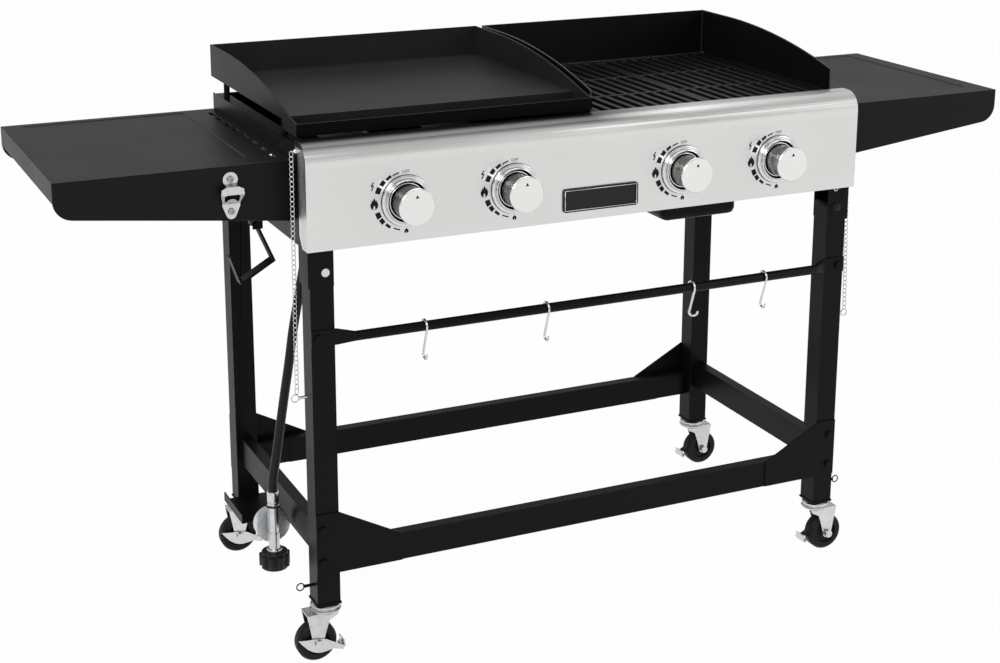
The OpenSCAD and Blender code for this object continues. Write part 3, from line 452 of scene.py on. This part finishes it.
def make_hose():
    route = smooth_line([HOSE_START + Vector(s) / 1000 for s in HOSE_STEPS])
    hose = add_tube("gas_hose_line", route, HOSE_D / 2, HOSE, sides=6, replaces=["gas_hose"])


def make_hose_seal():
    """The black seal ring under the hose's ferrule."""
    centre = HOSE_START + Vector(HOSE_STEPS[-1]) / 1000
    centre.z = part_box("regulator")[1].z - SEAL_DOWN
    add_tube("ferrule_seal", circle(centre, SEAL_R, X, Y, 32), SEAL_WIRE, PLASTIC, closed=True)


# Chains of the lock pins, and the screws that they hang from, round the solids' pegs
LINK_PITCH = 0.0075
LINK_HALF = (0.0028, 0.0046)
LINK_LEAN = 12.0
LINK_STEPS = 12
LINK_WIRE = 0.00072
CHAIN_FACE = math.radians(-24.7)
PEG_END = 0.002  # from the solid chain's middle to its peg's end
PEG_R = 0.0025
CHAIN_TOP_OUT = 0.001
CHAIN_BELOW = 0.003
CHAIN_HANG = {-1: (0.003, 0.002), 1: (0.009, 0.008)}  # each side's lower end: outwards, forwards
CHAIN_SCREW = ((0.0005, 0.0036, 0.0075), (0.0002, 0.0058, 0.0022))  # lift, radius, height


def add_chain(work, top, bottom):
    """Oval links that stand upright and lean to and fro about the line between two points."""
    count = int((top - bottom).length / LINK_PITCH)
    for i in range(count):
        turn = CHAIN_FACE + math.radians(LINK_LEAN if i % 2 else -LINK_LEAN)
        across = Vector((math.cos(turn), math.sin(turn), 0))
        line = circle(top.lerp(bottom, (i + 0.5) / count), 1.0, LINK_HALF[0] * across,
                      LINK_HALF[1] * Z, LINK_STEPS)
        add_ring(work, line, LINK_WIRE)


def make_chains():
    low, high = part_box("pin_chains")
    wire_x = high.x - PEG_END
    y = (low.y + high.y) / 2
    top_z = high.z - PEG_R
    panel_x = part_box("side_panel_right")[1].x
    work = bmesh.new()
    for side, (out, fore) in CHAIN_HANG.items():
        add_chain(work, Vector((side * (wire_x + CHAIN_TOP_OUT), y, top_z)),
                  Vector((side * (wire_x + out), y - fore, low.z - CHAIN_BELOW)))
        for lift, radius, height in CHAIN_SCREW:
            add_dome(work, Vector((side * (panel_x + lift), y, top_z)), side * X, radius, height)
    add_work("chain_links", work, BODY, PIN, smooth=True, replaces=["pin_chains"])


# Prints and rings round the knobs
BEZEL_R = 0.040
KNOB_GRIP_R = 0.0255
RING_STEPS = 48
PRINT_LIFT = 0.00025
PRINT_BACK = 0.00002
DIAL_R = 0.0447
# Angles of the upper and the lower dash, thickness, length
DASHES = ((156.3, 202.4, 0.0080, 0.0098), (141.0, 215.8, 0.0069, 0.0086),
          (126.4, 230.7, 0.0044, 0.0092), (110.6, 249.9, 0.0020, 0.0110))
FLAME = [(0.02, 1.0), (0.2, 0.62), (0.16, 0.42), (0.36, 0.62), (0.5, 0.3), (0.47, 0.12),
         (0.62, 0.22), (0.69, -0.2), (0.58, -0.66), (0.3, -0.94), (0.1, -1.0), (0.2, -0.72),
         (0.1, -0.42), (0, -0.25), (-0.1, -0.42), (-0.2, -0.72), (-0.1, -1.0), (-0.3, -0.94),
         (-0.58, -0.66), (-0.69, -0.2), (-0.6, 0.2), (-0.46, 0.1), (-0.48, 0.35), (-0.3, 0.66),
         (-0.2, 0.4), (-0.16, 0.66)]
# Each flame's place from the knob's centre, and half its width and height
FLAMES = ((-0.0514, 0.0, 0.0064, 0.0093), (0.0, -0.0468, 0.0035, 0.00425))
SPARK = [(0.0022, 0.0065), (-0.0022, 0.0004), (0.0018, 0.0009), (-0.0016, -0.0065)]
SPARK_W = 0.0017
SPARK_AT = (math.radians(153.4), 0.0604)
WORD_UP = 0.0431
WORD_H = 0.0068
GAP_RING = (KNOB_GRIP_R - 0.004, BEZEL_R - 0.0079)
GAP_LIFT = 0.0006
# Part, radius, lift, wire, finish
COLLARS = (("collar", 0.0277, 0.0040, 0.0014, CHROME),
           # The outer line is a painted contact shadow round the bezel
           ("shadow_line", BEZEL_R + 0.0002, 0.0004, 0.0004, BLACK_PRINT_AND_SHADOW))
POINTER_UP = 0.0165
POINTER_HALF = (0.0029, 0.0026)
POINTER_LIFT = 0.0002


def arc_block(cx, cz, r0, r1, a0, a1, steps=4):
    angles = [math.radians(a0 + (a1 - a0) * i / steps) for i in range(steps + 1)]
    outer = [(cx + r1 * math.cos(a), cz + r1 * math.sin(a)) for a in angles]
    inner = [(cx + r0 * math.cos(a), cz + r0 * math.sin(a)) for a in reversed(angles)]
    return outer + inner


def icon(points, x, z, half_w, half_h):
    widest = max(px for px, _ in points)
    return [(x + px / widest * half_w, z + pz * half_h) for px, pz in points]


def strokes(points, x, z, width):
    """One slim block for each stretch of a zigzag line."""
    made = []
    for (x0, z0), (x1, z1) in zip(points, points[1:]):
        length = math.hypot(x1 - x0, z1 - z0)
        nx, nz = -(z1 - z0) / length * width / 2, (x1 - x0) / length * width / 2
        made.append([(x + x0 + nx, z + z0 + nz), (x + x1 + nx, z + z1 + nz),
                     (x + x1 - nx, z + z1 - nz), (x + x0 - nx, z + z0 - nz)])
    return made


def make_dial(number, x, z):
    """Dashes, flames and a spark, printed on the panel as outlines of x and z."""
    outlines = []
    for upper, lower, thick, along in DASHES:
        half = math.degrees(along / 2 / (DIAL_R + thick / 2))
        for mid in (upper, lower):
            outlines.append(arc_block(x, z, DIAL_R, DIAL_R + thick, mid - half, mid + half))
    for across, up, half_w, half_h in FLAMES:
        outlines.append(icon(FLAME, x + across, z + up, half_w, half_h))
    angle, away = SPARK_AT
    outlines += strokes(SPARK, x + away * math.cos(angle), z + away * math.sin(angle), SPARK_W)
    work = bmesh.new()
    for outline in outlines:
        front = add_row(work, [(px, PANEL_Y - PRINT_LIFT, pz) for px, pz in outline])
        back = add_row(work, [(px, PANEL_Y - PRINT_BACK, pz) for px, pz in outline])
        work.faces.new(front)
        work.faces.new(back[::-1])
        add_band(work, back, front)
    bmesh.ops.recalc_face_normals(work, faces=work.faces)
    add_work(f"dial_print_{number}", work, BODY, BLACK_PRINT_AND_SHADOW)


def make_word(number, x, z):
    data = bpy.data.curves.new(f"off_word_{number}", "FONT")
    data.body = "OFF"
    data.size = WORD_H
    data.align_x = "CENTER"
    data.extrude = PRINT_LIFT / 2
    data.materials.append(GREY_PRINT)
    word = new_object(f"off_word_{number}", data)
    word.matrix_world = (Matrix.Translation((x, PANEL_Y - PRINT_LIFT / 2, z + WORD_UP))
                         @ Matrix.Rotation(math.radians(90), 4, "X"))
    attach(word, BODY)


def make_gap(number, x, z):
    """The shaded floor of the ring between a knob and its bezel."""
    centre = Vector((x, PANEL_Y - GAP_LIFT, z))
    work = bmesh.new()
    inner, outer = (add_row(work, circle(centre, r, steps=RING_STEPS)) for r in GAP_RING)
    add_band(work, outer, inner)
    add_work(f"knob_gap_{number}", work, BODY, VOID)


def make_collars(number, x, z):
    """Plated collar in that ring, and the fine dark line round the bezel, a painted contact shadow.
    """
    for part, radius, lift, wire, finish in COLLARS:
        line = circle(Vector((x, PANEL_Y - lift, z)), radius, steps=RING_STEPS)
        add_tube(f"bezel_{part}_{number}", line, wire, finish, sides=2, closed=True)


def make_dials():
    for number, box in enumerate(KNOBS, 1):
        x, _, z = middle(box)
        make_dial(number, x, z)
        make_word(number, x, z)
        make_gap(number, x, z)
        make_collars(number, x, z)


def make_pointers():
    """The small printed triangle on each knob's face."""
    half_w, half_h = POINTER_HALF
    for number, box in enumerate(KNOBS, 1):
        x, _, z = middle(box)
        y = box[0].y - POINTER_LIFT
        z += POINTER_UP
        points = [(x, y, z + half_h), (x - half_w, y, z - half_h), (x + half_w, y, z - half_h)]
        mesh = mesh_of(f"pointer_{number}", points, [(0, 1, 2)])
        add_mesh(f"pointer_{number}", mesh, f"knob_{number}", BLACK_PRINT_AND_SHADOW)


# Screws that the solids leave out, with the radius and the height of their heads
TABLE_SLOT_IN = 0.016
TABLE_SLOT_PITCH = 0.047
TABLE_SLOTS = 8
TABLE_HEAD = (0.0042, 0.0022)
TABLE_HEAD_DOWN = 0.0008
OPENER_SCREWS = (-0.024, 0.025)
OPENER_HEAD = (0.0036, 0.0017)
OPENER_LIFT = 0.0049
OPENER_RING = (0.0047, 0.0005)
OPENER_RING_BACK = 0.000235
PIVOT_Z = 0.645
PIVOT_BOLT_R = 0.0065
PIVOT_LIFT = 0.0052
PIVOT_HEAD = (0.0068, 0.0022)
RING_SCREW = (0.4594, 0.6775)
RING_SCREW_LIFT = 0.0012
RING_SCREW_R = 0.0036
RING_SCREW_WIRE = 0.0011


def make_table_screws():
    """A screw in the front slot of each side table."""
    y = middle(TABLE).y - (TABLE_SLOTS - 1) / 2 * TABLE_SLOT_PITCH
    work = bmesh.new()
    for side in (-1, 1):
        place = Vector((side * (TABLE[0].x + TABLE_SLOT_IN), y, TABLE[1].z - TABLE_HEAD_DOWN))
        add_dome(work, place, Z, *TABLE_HEAD)
    add_work("table_screws", work, BODY, ZINC, smooth=True)


def make_opener_screws():
    opener = middle(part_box("bottle_opener"))
    ring_r, ring_wire = OPENER_RING
    work = bmesh.new()
    for up in OPENER_SCREWS:
        place = Vector((opener.x, TABLE[0].y - OPENER_LIFT, opener.z + up))
        add_dome(work, place, -Y, *OPENER_HEAD)
        add_ring(work, circle(place + OPENER_RING_BACK * Y, ring_r), ring_wire)
    add_work("opener_screws", work, BODY, CAST, smooth=True)


def make_leg_screws():
    """The right pivot bolt's black head, and a small ring screw above it on the bracket."""
    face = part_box("leg_brackets")[0].y
    bolt_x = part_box("pivot_bolts")[1].x - PIVOT_BOLT_R
    work = bmesh.new()
    add_dome(work, Vector((bolt_x, face - PIVOT_LIFT, PIVOT_Z)), -Y, *PIVOT_HEAD)
    add_work("pivot_cap", work, BODY, DARK_BOLT, smooth=True)
    eye = Vector((RING_SCREW[0], face - RING_SCREW_LIFT, RING_SCREW[1]))
    add_tube("ring_screw", circle(eye, RING_SCREW_R), RING_SCREW_WIRE, ZINC, closed=True)


# The crossbars' tube ends, from the frame's tubes to the legs
BAR_D = 0.020
BAR_H = 0.046
BAR_BEHIND = 0.006  # a bolt's head and an end plate, which lie outside the tube
PLATE_SIDE = 0.004  # the tube's side next to the plates, whose corners don't count
SLACK = 0.001
TUBE_GAP = 0.0004
TUBE_CORNER = 0.0015
LONG_EDGE = 0.03
PLUG_RIM = 0.0015  # how far the caster plug's rim stands out from the leg


def make_tube_ends():
    """The last stretch of each crossbar: a square sleeve that stops at the leg."""
    leg_x = LEG[0].x + PLUG_RIM
    for name, front in (("front_crossbar", True), ("rear_crossbar", False)):
        low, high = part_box(name)
        near = low.y + BAR_BEHIND if front else high.y - BAR_BEHIND - BAR_D
        far = near + BAR_D
        first = near + PLATE_SIDE if front else near - SLACK
        last = far + SLACK if front else far - PLATE_SIDE
        tube_x = max(v.co.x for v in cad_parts[name].data.vertices if first < v.co.y < last)
        near, far, top = near + TUBE_GAP, far - TUBE_GAP, low.z + BAR_H
        corners = ((near, low.z), (far, low.z), (far, top), (near, top))
        for side in (-1, 1):
            work = bmesh.new()
            inner, outer = (add_row(work, [(side * x, y, z) for y, z in corners])
                            for x in (tube_x - SLACK, leg_x - TUBE_GAP))
            add_band(work, inner, outer)
            work.faces.new(inner)
            work.faces.new(outer[::-1])
            bmesh.ops.recalc_face_normals(work, faces=work.faces)
            long_edges = [e for e in work.edges if e.calc_length() > LONG_EDGE]
            bmesh.ops.bevel(work, geom=long_edges, offset=TUBE_CORNER, segments=2, affect="EDGES")
            end = "right" if side > 0 else "left"
            add_work(f"{name}_end_{end}", work, name, COAT)


# The blank badge's polished frame line
BADGE_INSET = 0.0028
BADGE_LIFT = 0.0001
BADGE_WIRE = 0.0007


def make_badge_rim():
    low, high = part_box("badge_plate")
    left, right = low.x + BADGE_INSET, high.x - BADGE_INSET
    bottom, top = low.z + BADGE_INSET, high.z - BADGE_INSET
    line = [Vector((x, low.y - BADGE_LIFT, z))
            for x, z in ((left, bottom), (right, bottom), (right, top), (left, top))]
    add_tube("badge_rim", line, BADGE_WIRE, CHROME, sides=2, closed=True)


# Floor and light
FLOOR_HALF = 14.0
FLOOR_GREY = 0.9
FLOOR_WHITE = 0.97  # how much of the floor's look is plain white; the rest takes the shadow
SOFT_LIGHT = 0.5
# The sky in reflections: heights, then strengths
SKY_FROM, SKY_TO = (-0.05, 0.25), (0.9, 0.5)
WHITE = (1.0, 1.0, 1.0, 1.0)
LAMP_AIM = Vector((0.0, 0.0, 0.6))


def mix_shaders(nodes, links, share, a, b):
    made = nodes.new("ShaderNodeMixShader")
    links.new(share, made.inputs["Fac"])
    links.new(a, made.inputs[1])
    links.new(b, made.inputs[2])
    return made.outputs["Shader"]


def make_floor():
    made, nodes, links, shader = new_material("floor")
    shader.inputs["Base Color"].default_value = (FLOOR_GREY, FLOOR_GREY, FLOOR_GREY, 1.0)
    shader.inputs["Roughness"].default_value = 0.9
    shader.inputs["Specular IOR Level"].default_value = 0.1
    white = new_node(nodes, "Emission", {"Strength": 1.0})
    path = nodes.new("ShaderNodeLightPath")
    seen = calculate(nodes, links, "MAXIMUM", path.outputs["Is Camera Ray"],
                     path.outputs["Is Glossy Ray"])
    share = calculate(nodes, links, "MULTIPLY", seen, FLOOR_WHITE)
    look = mix_shaders(nodes, links, share, shader.outputs["BSDF"], white.outputs["Emission"])
    links.new(look, nodes["Material Output"].inputs["Surface"])
    corners = [(x * FLOOR_HALF, y * FLOOR_HALF, 0) for x, y in ((-1, -1), (1, -1), (1, 1), (-1, 1))]
    mesh = mesh_of("floor", corners, [(0, 1, 2, 3)])
    mesh.materials.append(made)
    new_object("floor", mesh)


def make_world():
    """White to the camera, a soft even light on surfaces, a dimmer upper half in reflections."""
    world = bpy.data.worlds.new("studio")
    bpy.context.scene.world = world
    world.use_nodes = True
    nodes, links = world.node_tree.nodes, world.node_tree.links
    light = nodes["Background"]
    light.inputs["Color"].default_value = WHITE
    light.inputs["Strength"].default_value = SOFT_LIGHT
    white = new_node(nodes, "Background", {"Color": WHITE, "Strength": 1.0})
    parts = nodes.new("ShaderNodeSeparateXYZ")
    links.new(nodes.new("ShaderNodeTexCoord").outputs["Generated"], parts.inputs["Vector"])
    height = map_range(nodes, links, parts.outputs["Z"], *SKY_FROM, *SKY_TO)
    sky = new_node(nodes, "Background", {"Color": WHITE})
    links.new(height, sky.inputs["Strength"])
    path = nodes.new("ShaderNodeLightPath")
    plain = calculate(nodes, links, "MAXIMUM", path.outputs["Is Camera Ray"],
                      path.outputs["Is Transmission Ray"])
    lit = mix_shaders(nodes, links, path.outputs["Is Glossy Ray"], light.outputs["Background"],
                      sky.outputs["Background"])
    look = mix_shaders(nodes, links, plain, lit, white.outputs["Background"])
    links.new(look, nodes["World Output"].inputs["Surface"])


def make_lamp(name, place, size, power):
    data = bpy.data.lights.new(name, "AREA")
    data.shape = "RECTANGLE"
    data.size, data.size_y = size
    data.energy = power
    lamp = new_object(name, data)
    lamp.location = place
    lamp.rotation_euler = (LAMP_AIM - Vector(place)).to_track_quat("-Z", "Y").to_euler()


make_camera()
make_hose()
dress_nodes()
make_chains()
make_dials()
make_pointers()
make_table_screws()
make_opener_screws()
make_leg_screws()
make_hose_seal()
make_tube_ends()
make_badge_rim()
make_floor()
make_world()
make_lamp("key", (-2.6, -2.4, 3.0), (2.4, 1.6), 60.0)
make_lamp("fill", (2.8, -2.2, 2.2), (2.0, 2.0), 25.0)
make_lamp("top", (0.0, 0.6, 3.2), (3.0, 1.6), 35.0)
bpy.context.scene.view_settings.view_transform = "Standard"
